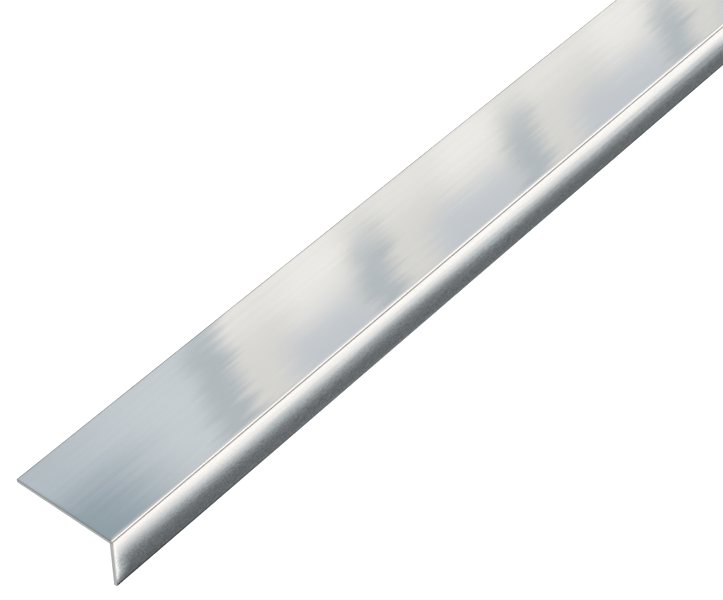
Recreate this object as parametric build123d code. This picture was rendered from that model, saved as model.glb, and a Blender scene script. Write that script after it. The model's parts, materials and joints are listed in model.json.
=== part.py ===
from build123d import *
import math
import os

# Unequal angle section, folded from stainless sheet, in one stock length.
#
# Row frame: +X runs along the section, +Y points back under the wide leg
# and +Z is up. The origin is the bottom centre of the box round the piece.
# It stands on its two toes with the corner on top, as loose angle lies on a
# level floor: the wide leg slopes down to the back, the narrow leg down to
# the front. All lengths are in millimetres.

os.makedirs("parts", exist_ok=True)

# ---- driving dimensions ------------------------------------------------
leg_wide = 30.0         # outside width of the wide leg, corner to toe
leg_narrow = 15.0       # outside width of the narrow leg, corner to toe
thickness = 1.0         # sheet thickness
bend_inner_r = 0.2      # inside radius of the fold, grooved before folding
toe_edge_r = 0.25       # deburred long edges of both toes
end_edge_r = 0.08       # edges of the cut ends, dressed with a fine file
stock_length = 500.0    # one short stock length, as sold by the half metre

# ---- sizes that follow from them ---------------------------------------
bend_outer_r = bend_inner_r + thickness

# The two inner toe edges touch the floor. All toe edges have one radius, so
# the rounding moves both contact points alike and leaves the slope as the
# line through the two inner toe corners gives it.
inner_wide = leg_wide - thickness
inner_narrow = leg_narrow - thickness
wide_slope = math.degrees(math.atan2(inner_narrow, inner_wide))


def leg_section() -> Sketch:
    """Draws the L-shaped cross section with its outer corner at the origin.

    Returns:
        The section as one face. The wide leg runs to +X and the narrow leg
        down to -Y; the fold and the toe edges are rounded.
    """
    outline = Polyline(
        (0, 0),
        (leg_wide, 0),
        (leg_wide, -thickness),
        (thickness, -thickness),
        (thickness, -leg_narrow),
        (0, -leg_narrow),
        close=True,
    )
    face = make_face(outline)
    outer_corner = face.vertices().sort_by_distance((0, 0))[0]
    face = fillet(outer_corner, bend_outer_r)
    inner_corner = face.vertices().sort_by_distance((thickness, -thickness))[0]
    face = fillet(inner_corner, bend_inner_r)
    wide_toe = face.vertices().group_by(Axis.X)[-1]
    face = fillet(wide_toe, toe_edge_r)
    narrow_toe = face.vertices().group_by(Axis.Y)[0]
    return fillet(narrow_toe, toe_edge_r)


def angle_section() -> Part:
    """Extrudes the section to the stock length and stands it on its toes.

    Returns:
        The finished bar, seated on z = 0 and centred in X and Y.
    """
    # The section is drawn in the YZ plane, so the extrusion runs along +X.
    bar = extrude(Plane.YZ * leg_section(), amount=stock_length)
    cut_ends = bar.faces().sort_by(Axis.X)
    end_edges = cut_ends[0].edges() + cut_ends[-1].edges()
    bar = chamfer(end_edges, end_edge_r)
    bar = Rot(X=-wide_slope) * bar
    box = bar.bounding_box()
    mid = box.center()
    return Pos(-mid.X, -mid.Y, -box.min.Z) * bar


angle = angle_section()
angle.label = "angle_section"
export_step(angle, "parts/angle_section.step")
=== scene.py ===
"""Brushed stainless angle, 30 x 15 x 1 mm, standing on its toes in a white studio.

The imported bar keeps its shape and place; this file gives it its finish and sets up
the sky, the floor, the light cards and the camera. Sizes are in millimetres, as in a
workshop drawing, and turned to metres where Blender needs them.
"""

import json
import logging
import math
from dataclasses import dataclass, field
from enum import Enum

import bmesh
import bpy
from mathutils import Matrix, Vector

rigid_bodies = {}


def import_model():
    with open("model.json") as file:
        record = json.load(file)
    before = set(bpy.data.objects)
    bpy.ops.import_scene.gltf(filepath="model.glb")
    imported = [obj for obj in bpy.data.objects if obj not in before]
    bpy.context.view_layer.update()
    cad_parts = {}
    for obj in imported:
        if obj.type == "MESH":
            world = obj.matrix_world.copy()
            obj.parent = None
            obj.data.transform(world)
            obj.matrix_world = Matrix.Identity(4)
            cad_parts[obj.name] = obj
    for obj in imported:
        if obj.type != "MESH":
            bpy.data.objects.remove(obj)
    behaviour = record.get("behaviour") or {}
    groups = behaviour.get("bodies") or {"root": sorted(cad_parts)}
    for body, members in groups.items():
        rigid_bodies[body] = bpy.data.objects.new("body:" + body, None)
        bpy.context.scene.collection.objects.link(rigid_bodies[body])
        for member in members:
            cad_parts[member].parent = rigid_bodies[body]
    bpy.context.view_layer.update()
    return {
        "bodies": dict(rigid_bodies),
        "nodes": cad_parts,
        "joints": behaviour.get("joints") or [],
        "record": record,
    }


LOG = logging.getLogger("angle_scene")
MM = 0.001

# The types that most functions here take or give.
Socket, Tree = bpy.types.NodeSocket, bpy.types.NodeTree
Corners = tuple[tuple[float, float, float], ...]

# The nodes used most, and their settings.
MATH, VECTOR_MATH = "ShaderNodeMath", "ShaderNodeVectorMath"
TIMES, TIMES_PLUS = {"operation": "MULTIPLY"}, {"operation": "MULTIPLY_ADD"}
# Mix has numbers on sockets 2 and 3, vectors on 4 and 5, and colours on 6 and 7.
MIX = "ShaderNodeMix"
NUMBERS, COLOURS = {"data_type": "FLOAT"}, {"data_type": "RGBA"}
# Map Range has the value on 0, what it runs from and to on 1 and 2, and what comes out
# there on 3 and 4. Where the value is a vector, these are 6 to 10.
RANGE = "ShaderNodeMapRange"
SMOOTH, UNCLAMPED = {"interpolation_type": "SMOOTHSTEP"}, {"clamp": False}
# A cloud pattern runs from 0 to 1 and seldom leaves this range.
CLOUD_LOW, CLOUD_HIGH = 0.25, 0.75
RAYS = ("camera", "glossy", "diffuse", "shadow", "transmission", "volume_scatter")


def linear(hex_colour: str) -> tuple[float, float, float, float]:
    """Turns an sRGB hex colour into linear RGBA, by the sRGB curve.

    Args:
        hex_colour: Six hex digits after a hash.

    Returns:
        Linear red, green and blue, and an alpha of 1.
    """
    channels = [int(hex_colour[i : i + 2], 16) / 255 for i in (1, 3, 5)]
    flat = [c / 12.92 if c <= 0.04045 else ((c + 0.055) / 1.055) ** 2.4 for c in channels]
    return (*flat, 1.0)


def add_node(
    tree: Tree,
    kind: str,
    settings: dict[str, object] | None = None,
    inputs: dict[int | str, object] | None = None,
) -> bpy.types.Node:
    """Adds a node with its settings and its inputs.

    Args:
        tree: The node tree to add to.
        kind: The node's type, such as ShaderNodeMath.
        settings: Properties of the node by name.
        inputs: Values by input name or index. An output socket is linked, and
            anything else becomes the input's own value.

    Returns:
        The new node.
    """
    node = tree.nodes.new(kind)
    for name, value in (settings or {}).items():
        setattr(node, name, value)
    for key, value in (inputs or {}).items():
        if isinstance(value, Socket):
            tree.links.new(value, node.inputs[key])
        else:
            node.inputs[key].default_value = value
    return node


def new_tree(owner: bpy.types.Material | bpy.types.World) -> Tree:
    """Switches a material or world to nodes and empties its tree.

    Args:
        owner: The material or world.

    Returns:
        Its empty tree.
    """
    owner.use_nodes = True
    owner.node_tree.nodes.clear()
    return owner.node_tree


@dataclass(frozen=True)
class AngleSection:
    """The bar's cross section and how it stands, in millimetres.

    Points are given along the bar from its near end, across the wide leg from the
    outer corner, and above the wide leg's outer face.
    """

    leg_wide: float = 30.0
    leg_narrow: float = 15.0
    thickness: float = 1.0
    toe_r: float = 0.25
    length: float = 500.0

    @property
    def slope(self) -> float:
        """Angle of the wide leg to the floor, in radians."""
        return math.atan2(self.leg_narrow - self.thickness, self.leg_wide - self.thickness)

    def turned(self, across: float, above: float) -> tuple[float, float]:
        """Section point turned by the slope: its Y and Z before it is seated."""
        c, s = math.cos(self.slope), math.sin(self.slope)
        return across * c + above * s, -across * s + above * c

    @property
    def seat(self) -> tuple[float, float]:
        """Finds the row's origin in the turned section's own frame.

        Returns:
            Its Y, midway between front and back, and its Z, where the toes stand.
        """
        back = self.turned(self.leg_wide - self.toe_r, -self.toe_r)[0] + self.toe_r
        front = self.turned(self.toe_r, self.toe_r - self.leg_narrow)[0] - self.toe_r
        inner_toe = self.turned(self.thickness - self.toe_r, self.toe_r - self.leg_narrow)
        return (back + front) / 2, inner_toe[1] - self.toe_r

    def point(self, along: float, across: float, above: float) -> Vector:
        """Turns a place on the section into the row frame.

        Args:
            along: Distance from the near end.
            across: Distance from the outer corner along the wide leg.
            above: Distance above the wide leg's outer face.

        Returns:
            The point in metres.
        """
        y, z = self.turned(across, above)
        mid, floor = self.seat
        return Vector((along - self.length / 2, y - mid, z - floor)) * MM

    @property
    def origin_in_section(self) -> tuple[float, float]:
        """Finds the row's origin on the section, which the finish needs.

        Returns:
            Its places across and above.
        """
        mid, floor = self.seat
        c, s = math.cos(self.slope), math.sin(self.slope)
        return mid * c - floor * s, mid * s + floor * c

    @property
    def wide_normal(self) -> Vector:
        """Unit vector out of the wide leg's outer face."""
        return Vector((0, math.sin(self.slope), math.cos(self.slope)))


class Seen(Enum):
    """Which rays a piece of the studio shows to."""

    CAMERA = ("camera",)
    GLOSS = ("glossy",)
    GLOSS_AND_LIGHT = ("glossy", "diffuse")
    ALL = ("camera", "glossy", "diffuse", "shadow")

    def apply(self, obj: bpy.types.Object) -> None:
        """Sets the object's ray visibility."""
        for ray in RAYS:
            setattr(obj, f"visible_{ray}", ray in self.value)


@dataclass(frozen=True)
class Grain:
    """A cloudy pattern drawn out along the brushing.

    Length and width are one streak's, in millimetres. Detail is how many octaves of
    finer streaks it holds, and the seed keeps one pattern unlike another.
    """

    length: float
    width: float
    detail: float
    seed: float


@dataclass
class Ground:
    """Where a point of the bar's skin lies, as sockets that the finish reads.

    Distances are in millimetres. Girth is the way round the section from the fold, up
    the wide leg and, below 0, down the narrow one. Depth is how far under the outer
    skin the point lies, and place is its spot along and across the brushing.
    """

    tree: Tree
    section: AngleSection
    normal: Socket = field(init=False)
    along: Socket = field(init=False)
    girth: Socket = field(init=False)
    depth: Socket = field(init=False)
    from_end: Socket = field(init=False)
    place: Socket = field(init=False)

    def __post_init__(self) -> None:
        """Works the sockets out from object coordinates."""
        tree = self.tree
        where = add_node(tree, "ShaderNodeTexCoord")
        across, above = self.section.origin_in_section
        turned = add_node(tree, "ShaderNodeMapping", inputs={
            "Vector": where.outputs["Object"],
            "Location": (0.0, across, above),
            "Rotation": (self.section.slope, 0.0, 0.0),
            "Scale": (1 / MM, 1 / MM, 1 / MM),
        })
        apart = add_node(tree, "ShaderNodeSeparateXYZ", inputs={0: turned.outputs[0]})
        wide, up = apart.outputs["Y"], apart.outputs["Z"]
        self.along = apart.outputs["X"]
        self.girth = add_node(tree, MATH, {"operation": "ADD"}, {0: wide, 1: up}).outputs[0]
        down = add_node(tree, MATH, TIMES, {0: up, 1: -1.0}).outputs[0]
        self.depth = add_node(tree, MATH, {"operation": "MINIMUM"}, {0: wide, 1: down}).outputs[0]
        off_middle = add_node(tree, MATH, {"operation": "ABSOLUTE"}, {0: self.along}).outputs[0]
        self.from_end = add_node(
            tree, MATH, {"operation": "SUBTRACT"},
            {0: self.section.length / 2, 1: off_middle}).outputs[0]
        self.place = add_node(
            tree, "ShaderNodeCombineXYZ", inputs={0: self.along, 1: self.girth}).outputs[0]
        self.normal = add_node(tree, "ShaderNodeNewGeometry").outputs["Normal"]

    def streaks(self, grain: Grain) -> Socket:
        """Adds a cloudy pattern drawn out along the bar.

        Args:
            grain: The pattern.

        Returns:
            The pattern, mostly from CLOUD_LOW to CLOUD_HIGH.
        """
        scale = (1 / grain.length, 1 / grain.width, 1.0)
        shift = (grain.seed, -grain.seed, grain.seed)
        scaled = add_node(self.tree, VECTOR_MATH, TIMES_PLUS, {0: self.place, 1: scale, 2: shift})
        cloud = add_node(self.tree, "ShaderNodeTexNoise", inputs={
            "Vector": scaled.outputs[0], "Scale": 1.0, "Detail": grain.detail})
        return cloud.outputs["Fac"]


@dataclass(frozen=True)
class BrushedStainless:
    """Austenitic stainless sheet, belt-brushed along its length on the outer side.

    The belt leaves long fine scratches, so light smears across them and stays sharp
    along them: soft bands whose ends feather out streak by streak. Sheared ends are
    matt and duller, burnished next to the outer face and torn further in. The inner
    side keeps the mill's own satin.
    """

    name: str = "stainless_sheet_belt_brushed"
    colour: str = "#E1E1DF"
    colour_worn: str = "#DDDFE0"
    anisotropy: float = 0.7
    roughness: float = 0.12
    # Dull and keen streaks are this share off the even roughness, both ways.
    roughness_spread: float = 0.15

    # A 240-grit belt cuts scratches about 0.06 mm apart and 10 mm or more long. They
    # are drawn 4 times as wide and deep, because one scratch is finer than a pixel.
    scratch_grain: Grain = Grain(12.0, 0.06 * 4, detail=2.0, seed=0.0)
    scratch_depth: float = 0.00008 * 4
    # Where the belt dwells it leaves a duller streak, a finger's width or less.
    dwell_grain: Grain = Grain(60.0, 1.3, detail=3.0, seed=7.3)
    # Scratches start and stop, so each streak leans the face a little lengthwise. So
    # does each pass of the belt, which is several streaks wide.
    feather_grain: Grain = Grain(30.0, 1.3, detail=4.0, seed=19.1)
    feather_lean: float = math.radians(0.9)
    pass_grain: Grain = Grain(60.0, 6.5, detail=1.0, seed=64.2)
    pass_lean: float = math.radians(0.8)

    # Hands and cloths rub the fold pale, and its pale tone is also a painted highlight along
    # the fold. The reach is how far from the fold's middle it fades. Beside the ends, where
    # nobody holds the bar, it reaches less far up the wide leg, by the squeeze.
    pale_rub_and_highlight: str = "#F9F7F4"
    rub_highlight_reach: tuple[float, float] = (0.6, 1.6)
    rub_highlight_squeeze: float = 1.5
    rub_highlight_ends: tuple[float, float] = (10.0, 28.0)
    rub_matt: float = 0.03
    rub_highlight_grain: Grain = Grain(7.0, 0.8, detail=3.0, seed=41.7)
    rub_highlight_range: tuple[float, float] = (0.3, 0.62)
    rub_highlight_least: float = 0.75

    # The mill's own satin is on the inner side, from just under the sheet's thickness.
    mill: str = "#C4C5C4"
    roughness_mill: float = 0.26
    mill_margin: float = 0.02

    # The shear burnishes the cut beside the outer face and tears it further in. It
    # drags the outer face down over the last of its length.
    burnished: str = "#9D9E9D"
    torn: str = "#949595"
    roughness_sheared: float = 0.45
    edge_break: float = 0.1
    burnish_depth: float = 0.36
    burnish_fade: float = 0.2
    tear_grain: Grain = Grain(3.0, 0.5, detail=2.0, seed=3.9)
    tear_wander: float = 0.2
    roll_over: float = 1.3
    roll_lean: float = math.radians(3.5)
    # A fine darker line runs beside the cut.
    cut_side_line: str = "#D0D1D1"
    cut_side_width: float = 0.28
    cut_side_fade: float = 0.12

    # A deburring wheel leaves the toes matt over less than a millimetre. Their darker tone
    # is painted shade, and the narrow toe has painted shade and highlight in stretches.
    deburred_shade: str = "#A2A3A4"
    roughness_deburred: float = 0.2
    deburr_wide: float = 0.33
    deburr_narrow: float = 0.75
    deburr_fade: float = 0.12
    wheel_grain: Grain = Grain(9.0, 3.0, detail=2.0, seed=57.1)
    wheel_wander: float = 0.15
    toe_painted_shade: str = "#848588"
    toe_painted_highlight: str = "#FDFDFC"
    toe_light_stretch: float = 220.0
    toe_highlight_peak: float = -135.0

    # The narrow leg had a coarser pass, which left specks and short drags. Real ones
    # are 0.1 to 0.2 mm wide and are drawn about twice as wide, so that they show. The
    # belt bites deeper towards the toe. Bite is the share of the way that specks go
    # from the even tone to the dull and bright ones.
    speck_bright: str = "#FAFAF8"
    speck_dull: str = "#C4C4C2"
    speck_grain: Grain = Grain(0.4, 0.34, detail=1.0, seed=71.3)
    speck_weight: float = 2.0
    drag_grain: Grain = Grain(2.4, 0.3, detail=2.0, seed=33.9)
    speck_range: tuple[float, float] = (1.1, 1.9)
    bite_at_fold: float = 0.06
    bite_at_toe: float = 0.44
    bite_span: tuple[float, float] = (-9.5, -3.5)
    # Where the narrow leg's finish ends beside the fold.
    narrow_from: tuple[float, float] = (-1.2, -0.4)

    # A hair of burr stands along the narrow toe, and the flank of it catches the light.
    # The shear flattens it beside the ends.
    burr_inset: float = 1.05
    burr_width: float = 0.4
    burr_lean: float = math.radians(10.5)
    burr_flattened: float = 16.0

    def sheared(self, ground: Ground) -> Socket:
        """Gives 1 on the sheared ends and their broken edges, and 0 elsewhere."""
        return add_node(
            ground.tree, MATH, {"operation": "LESS_THAN"},
            {0: ground.from_end, 1: self.edge_break}).outputs[0]

    def inner(self, ground: Ground) -> Socket:
        """Gives 1 on the inner side of the angle, and 0 elsewhere."""
        return add_node(
            ground.tree, MATH, {"operation": "GREATER_THAN"},
            {0: ground.depth, 1: ground.section.thickness - self.mill_margin}).outputs[0]

    def narrow(self, ground: Ground) -> Socket:
        """Gives 1 on the narrow leg's outer face, and 0 elsewhere."""
        return add_node(
            ground.tree, RANGE, SMOOTH,
            {0: ground.girth, 1: self.narrow_from[0], 2: self.narrow_from[1], 3: 1.0, 4: 0.0},
        ).outputs[0]

    def cut_side(self, ground: Ground) -> Socket:
        """Gives 1 along the fine darker line beside the cut."""
        return add_node(
            ground.tree, RANGE, SMOOTH,
            {0: ground.from_end, 1: self.cut_side_width, 2: self.cut_side_width + self.cut_side_fade,
             3: 1.0, 4: 0.0}).outputs[0]

    def rub_and_highlight(self, ground: Ground) -> Socket:
        """Rubs the fold pale and paints a highlight on it, a little unevenly along its length.

        Args:
            ground: The bar's sockets.

        Returns:
            How much rub and painted highlight the point has, from 0 to 1.
        """
        tree = ground.tree
        squeeze = add_node(
            tree, RANGE,
            inputs={0: ground.from_end, 1: self.rub_highlight_ends[0], 2: self.rub_highlight_ends[1],
                    3: self.rub_highlight_squeeze, 4: 1.0}).outputs[0]
        on_wide = add_node(tree, MATH, TIMES, {0: ground.girth, 1: squeeze}).outputs[0]
        on_narrow = add_node(tree, MATH, TIMES, {0: ground.girth, 1: -1.0}).outputs[0]
        off_fold = add_node(
            tree, MATH, {"operation": "MAXIMUM"}, {0: on_wide, 1: on_narrow}).outputs[0]
        fold = add_node(
            tree, RANGE, SMOOTH,
            {0: off_fold, 1: self.rub_highlight_reach[0], 2: self.rub_highlight_reach[1], 3: 1.0, 4: 0.0}).outputs[0]
        rub_unevenness = add_node(
            tree, RANGE,
            inputs={0: ground.streaks(self.rub_highlight_grain), 1: self.rub_highlight_range[0],
                    2: self.rub_highlight_range[1], 3: self.rub_highlight_least}).outputs[0]
        return add_node(tree, MATH, TIMES, {0: fold, 1: rub_unevenness}).outputs[0]

    def toes(self, ground: Ground) -> Socket:
        """Marks the toes: matt from deburring, painted with shade and highlight, edge wandering.

        Args:
            ground: The bar's sockets.

        Returns:
            1 on the toes, and 0 elsewhere.
        """
        tree, section = ground.tree, ground.section
        middle = (section.leg_wide - section.leg_narrow + self.deburr_narrow - self.deburr_wide) / 2
        half = (section.leg_wide + section.leg_narrow - self.deburr_narrow - self.deburr_wide) / 2
        off_middle = add_node(
            tree, MATH, {"operation": "SUBTRACT"}, {0: ground.girth, 1: middle}).outputs[0]
        off_middle = add_node(tree, MATH, {"operation": "ABSOLUTE"}, {0: off_middle}).outputs[0]
        wander = add_node(
            tree, MATH, TIMES_PLUS,
            {0: ground.streaks(self.wheel_grain), 1: self.wheel_wander, 2: off_middle}).outputs[0]
        return add_node(
            tree, RANGE, SMOOTH, {0: wander, 1: half, 2: half + self.deburr_fade}).outputs[0]

    def burr(self, ground: Ground) -> Socket:
        """Leans the burr's flank back.

        Args:
            ground: The bar's sockets.

        Returns:
            The lean in radians, which is 0 off the burr.
        """
        tree = ground.tree
        off_burr = add_node(
            tree, MATH, {"operation": "ADD"},
            {0: ground.girth, 1: ground.section.leg_narrow - self.burr_inset}).outputs[0]
        off_burr = add_node(tree, MATH, {"operation": "ABSOLUTE"}, {0: off_burr}).outputs[0]
        whole = add_node(
            tree, RANGE, inputs={0: ground.from_end, 1: 0.0, 2: self.burr_flattened}).outputs[0]
        lean = add_node(tree, MATH, TIMES, {0: whole, 1: self.burr_lean}).outputs[0]
        return add_node(
            tree, RANGE, SMOOTH,
            {0: off_burr, 1: 0.0, 2: self.burr_width, 3: lean, 4: 0.0}).outputs[0]

    def specks(self, ground: Ground) -> Socket:
        """Scatters the coarse pass's specks, stronger towards the narrow toe.

        Args:
            ground: The bar's sockets.

        Returns:
            The tone, from 0 for dull to 1 for bright.
        """
        tree = ground.tree
        bite = add_node(
            tree, RANGE, SMOOTH,
            {0: ground.girth, 1: self.bite_span[0], 2: self.bite_span[1],
             3: self.bite_at_toe, 4: self.bite_at_fold}).outputs[0]
        dullest = add_node(tree, MATH, {"operation": "SUBTRACT"}, {0: 0.5, 1: bite}).outputs[0]
        brightest = add_node(tree, MATH, {"operation": "ADD"}, {0: 0.5, 1: bite}).outputs[0]
        both = add_node(
            tree, MATH, TIMES_PLUS,
            {0: ground.streaks(self.speck_grain), 1: self.speck_weight,
             2: ground.streaks(self.drag_grain)}).outputs[0]
        return add_node(
            tree, RANGE,
            inputs={0: both, 1: self.speck_range[0], 2: self.speck_range[1],
                    3: dullest, 4: brightest}).outputs[0]

    def tipped(self, ground: Ground, across: Socket, scratches: Socket) -> Socket:
        """Tips the normal by the scratches, feathers, passes, roll-over and burr.

        Args:
            ground: The bar's sockets.
            across: The direction across the grain.
            scratches: The scratches' height, from 0 to 1.

        Returns:
            The normal that the shader takes.
        """
        tree = ground.tree
        cut = add_node(tree, "ShaderNodeBump", inputs={
            "Strength": 1.0, "Distance": self.scratch_depth * MM, "Height": scratches})
        feathered, passed = (
            add_node(
                tree, RANGE, UNCLAMPED,
                {0: ground.streaks(grain), 1: CLOUD_LOW, 2: CLOUD_HIGH, 3: -most, 4: most},
            ).outputs[0]
            for grain, most in (
                (self.feather_grain, self.feather_lean), (self.pass_grain, self.pass_lean))
        )
        lean = add_node(tree, MATH, {"operation": "ADD"}, {0: feathered, 1: passed}).outputs[0]
        rolled = add_node(
            tree, RANGE, SMOOTH,
            {0: ground.from_end, 1: 0.0, 2: self.roll_over, 3: self.roll_lean, 4: 0.0},
        ).outputs[0]
        side = add_node(tree, MATH, {"operation": "SIGN"}, {0: ground.along}).outputs[0]
        lean = add_node(tree, MATH, TIMES_PLUS, {0: rolled, 1: side, 2: lean}).outputs[0]
        lengthwise = add_node(tree, "ShaderNodeCombineXYZ", inputs={0: lean}).outputs[0]
        leaning = add_node(
            tree, VECTOR_MATH, {"operation": "ADD"}, {0: cut.outputs[0], 1: lengthwise}).outputs[0]
        back = add_node(
            tree, VECTOR_MATH, {"operation": "SCALE"},
            {0: across, "Scale": self.burr(ground)}).outputs[0]
        leaning = add_node(
            tree, VECTOR_MATH, {"operation": "ADD"}, {0: leaning, 1: back}).outputs[0]
        return add_node(tree, VECTOR_MATH, {"operation": "NORMALIZE"}, {0: leaning}).outputs[0]

    def material(self, section: AngleSection) -> bpy.types.Material:
        """Builds the finish.

        Args:
            section: The bar's section, which places the grain and the edges.

        Returns:
            The material.
        """
        made = bpy.data.materials.new(self.name)
        tree = new_tree(made)
        ground = Ground(tree, section)
        sheared, inner = self.sheared(ground), self.inner(ground)
        rub_and_highlight, toes, narrow = self.rub_and_highlight(ground), self.toes(ground), self.narrow(ground)
        scratches, dwells = ground.streaks(self.scratch_grain), ground.streaks(self.dwell_grain)
        across = add_node(
            tree, VECTOR_MATH, {"operation": "CROSS_PRODUCT"},
            {0: ground.normal, 1: (1.0, 0.0, 0.0)}).outputs[0]
        tangent = add_node(
            tree, MIX, {"data_type": "VECTOR"},
            {"Factor": sheared, 4: across, 5: (0.0, 1.0, 0.0)}).outputs[1]

        # Roughness: dull and keen streaks, and single scratches within them.
        keenest, dullest = 1 - self.roughness_spread, 1 + self.roughness_spread
        dull = add_node(
            tree, RANGE, UNCLAMPED,
            {0: dwells, 1: CLOUD_LOW, 2: CLOUD_HIGH,
             3: self.roughness * keenest, 4: self.roughness * dullest}).outputs[0]
        keen = add_node(
            tree, RANGE, UNCLAMPED,
            {0: scratches, 1: CLOUD_LOW, 2: CLOUD_HIGH, 3: keenest, 4: dullest}).outputs[0]
        roughness = add_node(tree, MATH, TIMES, {0: dull, 1: keen}).outputs[0]
        roughness = add_node(
            tree, MATH, TIMES_PLUS, {0: rub_and_highlight, 1: self.rub_matt, 2: roughness}).outputs[0]
        for mask, rough in (
            (inner, self.roughness_mill),
            (toes, self.roughness_deburred),
            (sheared, self.roughness_sheared),
        ):
            roughness = add_node(
                tree, MIX, NUMBERS, {"Factor": mask, 2: roughness, 3: rough}).outputs[0]

        # Colour: two close greys in streaks, then the pale rub on the fold, also a painted
        # highlight, the mill side, the toes with painted shade and highlight, and the ends.
        torn_edge = add_node(
            tree, MATH, TIMES_PLUS,
            {0: ground.streaks(self.tear_grain), 1: self.tear_wander, 2: ground.depth},
        ).outputs[0]
        torn = add_node(
            tree, RANGE, SMOOTH,
            {0: torn_edge, 1: self.burnish_depth, 2: self.burnish_depth + self.burnish_fade},
        ).outputs[0]
        cut_colour = add_node(
            tree, MIX, COLOURS,
            {"Factor": torn, 6: linear(self.burnished), 7: linear(self.torn)}).outputs[2]
        colour = add_node(
            tree, MIX, COLOURS,
            {"Factor": dwells, 6: linear(self.colour), 7: linear(self.colour_worn)}).outputs[2]
        speckled = add_node(
            tree, MIX, COLOURS,
            {"Factor": self.specks(ground), 6: linear(self.speck_dull),
             7: linear(self.speck_bright)}).outputs[2]
        # Painted shade near the near end and painted highlight further on, in stretches along the
        # narrow toe.
        turn = add_node(
            tree, MATH, TIMES_PLUS,
            {0: ground.along, 1: math.tau / self.toe_light_stretch,
             2: -math.tau * self.toe_highlight_peak / self.toe_light_stretch}).outputs[0]
        wave = add_node(tree, MATH, {"operation": "COSINE"}, {0: turn}).outputs[0]
        toe_lit = add_node(tree, RANGE, inputs={0: wave, 1: -1.0, 2: 1.0}).outputs[0]
        toe_light = add_node(
            tree, MIX, COLOURS,
            {"Factor": toe_lit, 6: linear(self.toe_painted_shade), 7: linear(self.toe_painted_highlight)},
        ).outputs[2]
        # The toes' tone: painted shade on the wide toe, the painted stretches on the narrow one.
        toe_tone = add_node(
            tree, MIX, COLOURS, {"Factor": narrow, 6: linear(self.deburred_shade), 7: toe_light}).outputs[2]
        for mask, tone in (
            (narrow, speckled),
            # The pale rub along the fold, which is also a painted highlight.
            (rub_and_highlight, linear(self.pale_rub_and_highlight)),
            # The fine darker line beside the cut.
            (self.cut_side(ground), linear(self.cut_side_line)),
            (inner, linear(self.mill)),
            (toes, toe_tone),
            (sheared, cut_colour),
        ):
            colour = add_node(tree, MIX, COLOURS, {"Factor": mask, 6: colour, 7: tone}).outputs[2]
        shader = add_node(tree, "ShaderNodeBsdfPrincipled", inputs={
            "Metallic": 1.0,
            "Base Color": colour,
            "Roughness": roughness,
            "Anisotropic": self.anisotropy,
            "Normal": self.tipped(ground, across, scratches),
            "Tangent": tangent,
        })
        add_node(tree, "ShaderNodeOutputMaterial", inputs={"Surface": shader.outputs["BSDF"]})
        return made


@dataclass
class AngleBar:
    """The one piece: the folded angle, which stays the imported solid."""

    section: AngleSection
    node: str = "angle_section"
    finish: BrushedStainless = field(default_factory=BrushedStainless)

    def dress(self, frame: dict) -> bpy.types.Object:
        """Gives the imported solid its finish.


        Returns:
            The bar's object.
        """
        bar = frame["nodes"][self.node]
        made = self.finish.material(self.section)
        for slot in bar.material_slots:
            slot.material = made
        return bar


@dataclass(frozen=True)
class Card:
    """A flat sheet of the studio, given by its corners in millimetres of the row frame."""

    name: str
    corners: Corners
    seen: Seen
    colour: str = "#FFFFFF"
    strength: float = 1.0

    def surface(self, tree: Tree) -> Socket:
        """Gives the card's shader: even light."""
        glow = add_node(tree, "ShaderNodeEmission", inputs={
            "Color": linear(self.colour), "Strength": self.strength})
        return glow.outputs[0]

    def mesh(self) -> bpy.types.Mesh:
        """Makes the card's mesh.

        Returns:
            A mesh of one face, between the corners.
        """
        mesh = bpy.data.meshes.new(self.name)
        points = [Vector(corner) * MM for corner in self.corners]
        mesh.from_pydata(points, [], [tuple(range(len(points)))])
        return mesh

    def build(self) -> bpy.types.Object:
        """Makes the card and sets which rays see it.

        Returns:
            The card's object.
        """
        mesh = self.mesh()
        card = bpy.data.objects.new(self.name, mesh)
        bpy.context.scene.collection.objects.link(card)
        made = bpy.data.materials.new(self.name)
        tree = new_tree(made)
        add_node(tree, "ShaderNodeOutputMaterial", inputs={"Surface": self.surface(tree)})
        mesh.materials.append(made)
        self.seen.apply(card)
        return card


@dataclass(frozen=True)
class Sky(Card):
    """A great dome in place of a sheet, so that every view ends in white."""

    radius: float = 15000.0
    segments: int = 48

    def mesh(self) -> bpy.types.Mesh:
        """Makes the dome's mesh.

        Returns:
            A ball about the row's origin.
        """
        shell = bmesh.new()
        bmesh.ops.create_uvsphere(
            shell, u_segments=self.segments, v_segments=self.segments // 2,
            radius=self.radius * MM)
        mesh = bpy.data.meshes.new(self.name)
        shell.to_mesh(mesh)
        shell.free()
        return mesh


@dataclass(frozen=True)
class ShadowFloor(Card):
    """A white floor that gives out most of its light and takes a faint shadow."""

    paint: str = "#F0F0F0"

    def surface(self, tree: Tree) -> Socket:
        """Adds matt paint to the even light.

        Args:
            tree: The floor's tree.

        Returns:
            The shader.
        """
        matt = add_node(tree, "ShaderNodeBsdfDiffuse", inputs={"Color": linear(self.paint)})
        both = add_node(
            tree, "ShaderNodeAddShader", inputs={0: super().surface(tree), 1: matt.outputs[0]})
        return both.outputs[0]


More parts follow.
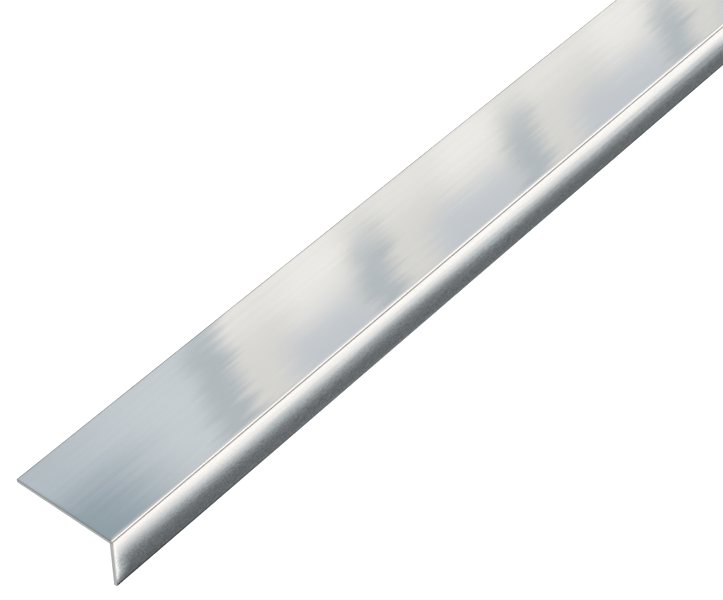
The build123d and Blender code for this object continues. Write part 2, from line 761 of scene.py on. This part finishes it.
@dataclass(frozen=True)
class FadingCard(Card):
    """A card whose light changes from one place to another along Y, and along X.

    From start to stop along Y it goes from its full strength to the share that rest
    gives. Below near_start along X it has near_share of that, and from near_stop on
    all of it.
    """

    start: float = 0.0
    stop: float = 1.0
    rest: float = 1.0
    near_start: float = 0.0
    near_stop: float = 1.0
    near_share: float = 1.0
    # Soft uneven bands over the low end of X, which the bar mirrors from behind. They
    # are this share of the light, both ways, and die out over their span's length.
    banding: float = 0.0
    band_spacing: float = 330.0
    band_cloud: tuple[float, float] = (0.3, 0.7)
    band_span: tuple[float, float] = (250.0, 600.0)

    def surface(self, tree: Tree) -> Socket:
        """Fades the light along Y and X, and adds any bands.

        Args:
            tree: The card's tree.

        Returns:
            The shader.
        """
        where = add_node(tree, "ShaderNodeTexCoord")
        place = add_node(tree, "ShaderNodeSeparateXYZ", inputs={0: where.outputs["Object"]})
        fade = add_node(tree, RANGE, inputs={
            0: place.outputs["Y"],
            1: self.start * MM,
            2: self.stop * MM,
            3: self.strength,
            4: self.strength * self.rest,
        })
        near = add_node(tree, RANGE, inputs={
            0: place.outputs["X"],
            1: self.near_start * MM,
            2: self.near_stop * MM,
            3: self.near_share,
            4: 1.0,
        })
        strength = add_node(tree, MATH, TIMES, {0: fade.outputs[0], 1: near.outputs[0]}).outputs[0]
        if self.banding:
            strength = add_node(
                tree, MATH, TIMES,
                {0: strength, 1: self.bands(tree, place.outputs["X"])}).outputs[0]
        glow = add_node(tree, "ShaderNodeEmission", inputs={
            "Color": linear(self.colour), "Strength": strength})
        return glow.outputs[0]

    def bands(self, tree: Tree, place: Socket) -> Socket:
        """Gives a share of light that wanders about 1 along X.

        Args:
            tree: The card's tree.
            place: X of the point, in metres.

        Returns:
            The share, which settles at 1 past the bands' span.
        """
        step = add_node(
            tree, MATH, {"operation": "DIVIDE"}, {0: place, 1: self.band_spacing * MM}).outputs[0]
        cloud = add_node(
            tree, "ShaderNodeTexNoise", {"noise_dimensions": "1D"},
            {"W": step, "Scale": 1.0, "Detail": 1.0}).outputs["Fac"]
        share = add_node(tree, RANGE, UNCLAMPED, {
            0: cloud, 1: self.band_cloud[0], 2: self.band_cloud[1],
            3: 1.0 - self.banding, 4: 1.0 + self.banding}).outputs[0]
        return add_node(
            tree, RANGE, SMOOTH,
            {0: place, 1: self.band_span[0] * MM, 2: self.band_span[1] * MM,
             3: share, 4: 1.0}).outputs[0]


@dataclass(frozen=True)
class ToeShade(Card):
    """A strip of shade on the floor under and in front of the narrow toe.

    Its depth is in millimetres out from the toe line, and it clears with depth. Beside
    the near end a wedge of clear light cuts into it.
    """

    toe_y: float = 0.0
    near_x: float = 0.0
    # The clear light, its tint and the shade's, and between which shares they change.
    clear: float = 1.33
    clear_tint: str = "#FFFCFA"
    shade_tint: str = "#EAF4FB"
    tint_turn: tuple[float, float] = (0.5, 0.95)
    # Light at each depth, as a share of the clear light.
    depths: tuple[float, ...] = (0.0, 0.8, 1.8, 4.0, 6.5, 8.2, 9.8, 11.5, 13.2, 16.0)
    shares: tuple[float, ...] = (0.09, 0.12, 0.155, 0.143, 0.156, 0.23, 0.43, 0.675, 0.918, 1.0)
    # A mirrored point lies further along the bar the deeper it is.
    depth_slant: float = 0.79
    # How clear the wedge is, by distance from the near end. It opens with depth, over
    # wedge_toe, and it is narrower by the pinch before wedge_tip.
    wedge_places: tuple[float, ...] = (0.0, 0.3, 1.0, 1.6, 2.5, 3.4, 4.6, 6.0)
    wedge_shares: tuple[float, ...] = (0.97, 0.88, 0.66, 0.4, 0.23, 0.13, 0.04, 0.0)
    wedge_toe: tuple[float, float] = (0.7, 4.9)
    wedge_tip: tuple[float, float] = (2.0, 5.6)
    wedge_pinch: float = 1.25
    # Near the end the clearing is held back by the swell, which is greatest at its
    # middle depth. Further on it comes sooner, by the drift for each millimetre.
    swell: float = -1.2
    swell_middle: float = 12.0
    swell_reach: tuple[float, float] = (0.5, 3.6)
    swell_span: tuple[float, float] = (10.0, 40.0)
    drift: float = 0.0025
    # Close to the toe the shade is a little deeper beside the near end.
    pinch: float = 0.17
    pinch_depth: tuple[float, float] = (2.2, 4.2)
    pinch_span: tuple[float, float] = (14.0, 46.0)

    def curve(
        self, tree: Tree, place: Socket, places: tuple[float, ...], shares: tuple[float, ...]
    ) -> Socket:
        """Gives a share of light that follows a line through the given points.

        Args:
            tree: The card's tree.
            place: Where the point lies, in millimetres.
            places: Places from 0 up, in millimetres.
            shares: The share at each place.

        Returns:
            The share.
        """
        scaled = add_node(tree, MATH, {"operation": "DIVIDE"}, {0: place, 1: places[-1]})
        ramp = add_node(tree, "ShaderNodeValToRGB", inputs={0: scaled.outputs[0]})
        steps = ramp.color_ramp
        steps.interpolation = "LINEAR"
        while len(steps.elements) < len(places):
            steps.elements.new(0.5)
        for step, far, share in zip(steps.elements, places, shares):
            step.position = far / places[-1]
            step.color = (share, share, share, 1.0)
        return ramp.outputs[0]

    def surface(self, tree: Tree) -> Socket:
        """Shades the strip by distance from the toe and from the near end.

        Args:
            tree: The strip's tree.

        Returns:
            The shader.
        """
        where = add_node(tree, "ShaderNodeTexCoord")
        local = add_node(tree, "ShaderNodeMapping", inputs={
            "Vector": where.outputs["Object"],
            "Location": (-self.near_x, -self.toe_y, 0.0),
            "Scale": (1 / MM, 1 / MM, 1 / MM),
        })
        place = add_node(tree, "ShaderNodeSeparateXYZ", inputs={0: local.outputs[0]})
        depth = add_node(tree, MATH, TIMES, {0: place.outputs["Y"], 1: -1.0}).outputs[0]
        along = add_node(
            tree, MATH, TIMES_PLUS,
            {0: depth, 1: -self.depth_slant, 2: place.outputs["X"]}).outputs[0]
        # The depth that the light follows, with the swell and the drift.
        swell = add_node(
            tree, RANGE, SMOOTH,
            {0: along, 1: self.swell_span[0], 2: self.swell_span[1], 3: self.swell, 4: 0.0},
        ).outputs[0]
        off_middle = add_node(
            tree, MATH, {"operation": "SUBTRACT"}, {0: depth, 1: self.swell_middle}).outputs[0]
        off_middle = add_node(tree, MATH, {"operation": "ABSOLUTE"}, {0: off_middle}).outputs[0]
        held = add_node(
            tree, RANGE, SMOOTH,
            {0: off_middle, 1: self.swell_reach[0], 2: self.swell_reach[1], 3: 1.0, 4: 0.0},
        ).outputs[0]
        reach = add_node(tree, MATH, TIMES_PLUS, {0: held, 1: swell, 2: depth}).outputs[0]
        reach = add_node(tree, MATH, TIMES_PLUS, {0: along, 1: self.drift, 2: reach}).outputs[0]
        shade = self.curve(tree, reach, self.depths, self.shares)
        # The deeper shade close to the toe.
        close = add_node(
            tree, RANGE, SMOOTH,
            {0: depth, 1: self.pinch_depth[0], 2: self.pinch_depth[1], 3: self.pinch, 4: 0.0},
        ).outputs[0]
        kept = add_node(
            tree, RANGE, SMOOTH,
            {0: along, 1: self.pinch_span[0], 2: self.pinch_span[1], 3: close, 4: 0.0},
        ).outputs[0]
        kept = add_node(tree, MATH, {"operation": "SUBTRACT"}, {0: 1.0, 1: kept}).outputs[0]
        shade = add_node(tree, MATH, TIMES, {0: shade, 1: kept}).outputs[0]
        # The wedge of clear light at the near end, closed at the toe.
        narrowing = add_node(
            tree, RANGE, inputs={
                0: depth, 1: self.wedge_tip[0], 2: self.wedge_tip[1], 3: self.wedge_pinch,
                4: 1.0}).outputs[0]
        inward = add_node(tree, MATH, TIMES, {0: along, 1: narrowing}).outputs[0]
        wedge = self.curve(tree, inward, self.wedge_places, self.wedge_shares)
        opened = add_node(
            tree, RANGE, SMOOTH, {0: depth, 1: self.wedge_toe[0], 2: self.wedge_toe[1]}).outputs[0]
        wedge = add_node(tree, MATH, TIMES, {0: wedge, 1: opened}).outputs[0]
        share = add_node(tree, MIX, NUMBERS, {"Factor": wedge, 2: shade, 3: 1.0}).outputs[0]
        strength = add_node(tree, MATH, TIMES, {0: share, 1: self.clear}).outputs[0]
        warm = add_node(
            tree, RANGE, SMOOTH, {0: share, 1: self.tint_turn[0], 2: self.tint_turn[1]}).outputs[0]
        tint = add_node(
            tree, MIX, COLOURS,
            {"Factor": warm, 6: linear(self.shade_tint), 7: linear(self.clear_tint)})
        glow = add_node(tree, "ShaderNodeEmission", inputs={
            "Color": tint.outputs[2], "Strength": strength})
        return glow.outputs[0]


@dataclass(frozen=True)
class Patch:
    """A soft-edged patch of tone on a wall, in millimetres.

    Middle, reach and soft are each along the wall and up it: where the patch is, half
    its size, and half the width of its soft edge. Lean slides it along the wall for
    each millimetre down from the eye line. Part is how much of it shows.
    """

    tone: str
    middle: tuple[float, float]
    reach: tuple[float, float]
    soft: tuple[float, float]
    lean: float = 0.0
    part: float = 1.0

    def paint(self, tree: Tree, place: Socket, height: Socket, ground: Socket) -> Socket:
        """Paints the patch over what is there.

        Args:
            tree: The wall's tree.
            place: X and Z on the wall.
            height: Height above the floor, as (height, 0, 0).
            ground: The colour so far.

        Returns:
            The colour with the patch on it.
        """
        slid = add_node(
            tree, VECTOR_MATH, TIMES_PLUS,
            {0: height, 1: (self.lean, 0.0, 0.0), 2: place}).outputs[0]
        # The wall is flat in Y, so that channel of each vector is only a filler.
        middle = (self.middle[0] + self.lean * PostedWall.eye_line, 0.0, self.middle[1])
        off = add_node(
            tree, VECTOR_MATH, {"operation": "SUBTRACT"}, {0: slid, 1: middle}).outputs[0]
        off = add_node(tree, VECTOR_MATH, {"operation": "ABSOLUTE"}, {0: off}).outputs[0]
        full = (self.reach[0] - self.soft[0], -1.0, self.reach[1] - self.soft[1])
        gone = (self.reach[0] + self.soft[0], 1.0, self.reach[1] + self.soft[1])
        masks = add_node(
            tree, RANGE,
            {"data_type": "FLOAT_VECTOR", "interpolation_type": "SMOOTHSTEP"},
            {6: off, 7: full, 8: gone, 9: (1.0, 1.0, 1.0), 10: (0.0, 0.0, 0.0)}).outputs[1]
        apart = add_node(tree, "ShaderNodeSeparateXYZ", inputs={0: masks})
        mask = add_node(
            tree, MATH, TIMES, {0: apart.outputs["X"], 1: apart.outputs["Z"]}).outputs[0]
        mask = add_node(tree, MATH, TIMES, {0: mask, 1: self.part}).outputs[0]
        return add_node(
            tree, MIX, COLOURS, {"Factor": mask, 6: ground, 7: linear(self.tone)}).outputs[2]


@dataclass(frozen=True)
class PostedWall(Card):
    """A low pale wall behind the bar, with soft blue-grey posts a hand apart.

    The wide leg mirrors it: cream between the posts with a cool pool high up in each
    bay, and a long cool end. Its dark bottom band is painted shade, which draws a fine
    line along the wide toe.
    """

    eye_line: float = 62.4
    top: float = 72.0
    # A patch with this reach runs off the wall on that side.
    beyond: float = 200.0
    # The bays are paler low down, over these heights.
    cream: str = "#E2E0DC"
    cream_low: str = "#F5F2EE"
    cream_turn: tuple[float, float] = (30.0, 46.0)
    post: str = "#BAC1C6"
    pool: str = "#CBD0D7"
    glow: str = "#FCF9F5"
    end_light: str = "#D2D8DD"
    end_mid: str = "#BFC8CF"
    end_dark: str = "#96A5AE"
    # Painted shade along the bottom of the wall, also the tone of the painted shadow behind the
    # bar.
    painted_foot_shade: str = "#5A5C5E"
    painted_foot_shade_top: float = 23.4
    # X of each post at the eye line, and how far it leans for each millimetre down.
    posts: tuple[tuple[float, float], ...] = (
        (-152.5, -0.025), (-87.7, 0.0), (-15.8, -0.07), (62.3, -0.1),
        (148.0, -0.1), (237.0, -0.1), (332.0, -0.1), (433.0, -0.1),
    )

    def patches(self) -> list[Patch]:
        """Lists what is painted on the wall.

        Returns:
            The patches, the undermost first.
        """
        far = self.beyond
        first_x, first_lean = self.posts[0]
        # The cool end: a light tone up to the first post, then two darker ones.
        drawn = [
            Patch(self.end_light, middle=(first_x - far + 3.0, 40.0), reach=(far, far),
                  soft=(7.0, 1.0), lean=first_lean),
            Patch(self.end_mid, middle=(-182.0 - far, 40.0), reach=(far, far),
                  soft=(21.0, 1.0), lean=-0.5),
            Patch(self.end_dark, middle=(-183.0 - far, 44.5 + far), reach=(far, far),
                  soft=(21.0, 7.0), lean=-0.6),
        ]
        # A cool pool high in each bay, and a glow low down before its far post.
        for (post, _), (after, lean) in zip(self.posts, self.posts[1:]):
            drawn.append(Patch(
                self.pool, middle=((post + after + 18.0) / 2, 60.0),
                reach=((after - post - 32.0) / 2, 12.0), soft=(8.0, 4.0), lean=lean))
            drawn.append(Patch(
                self.glow, middle=(after - 22.0, 33.0), reach=(13.0, 13.0),
                soft=(9.0, 8.0), lean=lean, part=0.85))
        # Posts, which fade out low down. The first one reaches lower.
        for index, (post, lean) in enumerate(self.posts):
            low, fade = (30.0, 4.0) if index == 0 else (38.0, 10.0)
            drawn.append(Patch(
                self.post, middle=(post, low + far), reach=(7.0, far), soft=(5.0, fade),
                lean=lean))
        # Painted shade along the bottom of the wall.
        drawn.append(Patch(
            self.painted_foot_shade, middle=(0.0, self.painted_foot_shade_top - far), reach=(5000.0, far),
            soft=(1.0, 2.0)))
        return drawn

    def surface(self, tree: Tree) -> Socket:
        """Paints the wall with light.

        Args:
            tree: The wall's tree.

        Returns:
            The shader.
        """
        where = add_node(tree, "ShaderNodeTexCoord")
        local = add_node(tree, "ShaderNodeMapping", inputs={
            "Vector": where.outputs["Object"], "Scale": (1 / MM, 1 / MM, 1 / MM)}).outputs[0]
        z = add_node(tree, "ShaderNodeSeparateXYZ", inputs={0: local}).outputs["Z"]
        height = add_node(tree, "ShaderNodeCombineXYZ", inputs={0: z}).outputs[0]
        lower = add_node(
            tree, RANGE, SMOOTH,
            {0: z, 1: self.cream_turn[0], 2: self.cream_turn[1], 3: 1.0, 4: 0.0}).outputs[0]
        colour = add_node(
            tree, MIX, COLOURS,
            {"Factor": lower, 6: linear(self.cream), 7: linear(self.cream_low)}).outputs[2]
        for patch in self.patches():
            colour = patch.paint(tree, local, height, colour)
        glow = add_node(tree, "ShaderNodeEmission", inputs={
            "Color": colour, "Strength": self.strength})
        return glow.outputs[0]


@dataclass
class Studio:
    """White floor, sky and cards. Places are in millimetres of the row frame."""

    section: AngleSection
    room: float = 20000.0
    air: str = "#CCC9C7"
    air_strength: float = 0.85

    def build(self) -> None:
        """Builds the studio."""
        world = bpy.data.worlds.new("studio_air")
        bpy.context.scene.world = world
        tree = new_tree(world)
        air = add_node(tree, "ShaderNodeBackground", inputs={
            "Color": linear(self.air), "Strength": self.air_strength})
        add_node(tree, "ShaderNodeOutputWorld", inputs={"Surface": air.outputs[0]})
        for card in self.cards():
            card.build()
            LOG.info("%s hung", card.name)

    def cards(self) -> list[Card]:
        """Lists the studio's pieces.

        Returns:
            The pieces, in the order that they are hung in.
        """
        toe = self.section.point(0, 0, -self.section.leg_narrow) / MM
        far = self.section.length / 2
        # Overhead cards lie side by side at one height, with these borders along X and Y.
        lamp_z = 2000.0
        left, lamp_left, lamp_right, right = -2400.0, 600.0, 2800.0, 3800.0
        flag_y, lamp_y, spill_y, far_spill_y, back_y = -2524.0, -561.0, -62.0, 772.0, 2845.0
        # Low cards stand round the bar, and lie just off the floor.
        low, front_y, front_top, toe_back_y, wall_y = 0.05, -800.0, 660.0, 17.5, 70.0
        front_x = (-900.0, 1400.0)
        shade_y = toe.y - ToeShade.depths[-1]
        wall_x = (-far - 200.0, far + 200.0)
        return [
            Sky("sky", (), Seen.CAMERA),
            ShadowFloor("floor", self.level(-self.room, self.room, -self.room, self.room, 0.0),
                        Seen.ALL, strength=0.93),
            Card("lamp", self.level(lamp_left, lamp_right, lamp_y, spill_y, lamp_z),
                 Seen.GLOSS_AND_LIGHT, strength=1.38),
            FadingCard("lamp_side", self.level(left, lamp_left, lamp_y, spill_y, lamp_z),
                       Seen.GLOSS_AND_LIGHT, strength=0.9, banding=0.3),
            FadingCard("flag", self.level(left, right, flag_y, lamp_y, lamp_z), Seen.GLOSS,
                       "#FFFAF8", strength=0.8, start=lamp_y, stop=-1191.0, rest=0.275,
                       near_start=889.0, near_stop=1237.0, near_share=1.3, banding=0.45),
            FadingCard("lamp_spill", self.level(left, right, spill_y, far_spill_y, lamp_z),
                       Seen.GLOSS_AND_LIGHT, strength=1.0, start=spill_y, stop=far_spill_y,
                       rest=0.843, near_start=889.0, near_stop=1388.0, near_share=0.76),
            FadingCard("far_spill", self.level(left, right, far_spill_y, back_y, lamp_z),
                       Seen.GLOSS_AND_LIGHT, strength=0.843, start=far_spill_y, stop=1957.0,
                       rest=0.74, near_start=850.0, near_stop=1200.0, near_share=0.5),
            Card("front_wall", self.upright(*front_x, front_y, 0, front_top), Seen.GLOSS,
                 ToeShade.clear_tint, strength=1.07),
            FadingCard("front_apron", self.level(*front_x, front_y, shade_y, low), Seen.GLOSS,
                       ToeShade.clear_tint, strength=ToeShade.clear,
                       start=shade_y - 4.0, stop=shade_y - 30.0, rest=0.8),
            ToeShade("toe_shade", self.level(-far, far + 60, shade_y, toe_back_y, low),
                     Seen.GLOSS, toe_y=toe.y, near_x=-far),
            PostedWall("posted_wall", self.upright(*wall_x, wall_y, 0, PostedWall.top), Seen.GLOSS,
                       strength=1.2),
            # A painted shadow on the floor behind the bar, dark by the wide toe and fading to light
            # further back.
            FadingCard("back_shadow_strip", self.level(*wall_x, toe_back_y, wall_y, low), Seen.GLOSS,
                       PostedWall.painted_foot_shade, strength=1.2, start=22.0, stop=36.0, rest=6.5),
        ]

    def level(
        self, x_low: float, x_high: float, y_low: float, y_high: float, z: float
    ) -> Corners:
        """Gives the corners of a level rectangle."""
        return (x_low, y_low, z), (x_high, y_low, z), (x_high, y_high, z), (x_low, y_high, z)

    def upright(
        self, x_low: float, x_high: float, y: float, z_low: float, z_high: float
    ) -> Corners:
        """Gives the corners of an upright rectangle that runs along the bar."""
        return (x_low, y, z_low), (x_high, y, z_low), (x_high, y, z_high), (x_low, y, z_high)


@dataclass(frozen=True)
class ProductCamera:
    """A long lens above the near end, upright with the narrow leg.

    Places are along, across and above the section, in millimetres.
    """

    name: str = "product_camera"
    eye: tuple[float, float, float] = (-247.1, -275.8, 419.0)
    aim: tuple[float, float, float] = (95.0, 7.2, 0.0)
    lens: float = 125.16
    sensor: float = 36.0
    roll: float = math.radians(-0.128)
    # The nearest and furthest that it sees, in metres.
    sight: tuple[float, float] = (0.02, 100.0)

    def build(self, section: AngleSection) -> bpy.types.Object:
        """Makes the camera.

        Args:
            section: The bar's section, which the camera is placed from.

        Returns:
            The camera, already the scene's own.
        """
        data = bpy.data.cameras.new(self.name)
        data.lens = self.lens
        data.sensor_width = self.sensor
        data.clip_start, data.clip_end = self.sight
        camera = bpy.data.objects.new(self.name, data)
        bpy.context.scene.collection.objects.link(camera)
        eye, aim = section.point(*self.eye), section.point(*self.aim)
        back = (eye - aim).normalized()
        right = section.wide_normal.cross(back).normalized()
        up = back.cross(right)
        turn = Matrix((right, up, back)).transposed().to_4x4()
        camera.matrix_world = Matrix.Translation(eye) @ turn @ Matrix.Rotation(self.roll, 4, "Z")
        bpy.context.scene.camera = camera
        return camera


def main() -> None:
    """Loads the frame and builds the bar, the studio and the camera."""
    logging.basicConfig(level=logging.INFO, format="%(name)s: %(message)s")
    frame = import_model()
    section = AngleSection()
    bpy.context.scene.view_settings.view_transform = "Standard"
    bar = AngleBar(section).dress(frame)
    LOG.info("%s dressed, corner on top at %s", bar.name, section.point(0, 0, 0))
    Studio(section).build()
    camera = ProductCamera().build(section)
    LOG.info("%s placed", camera.name)


if __name__ == "__main__":
    main()
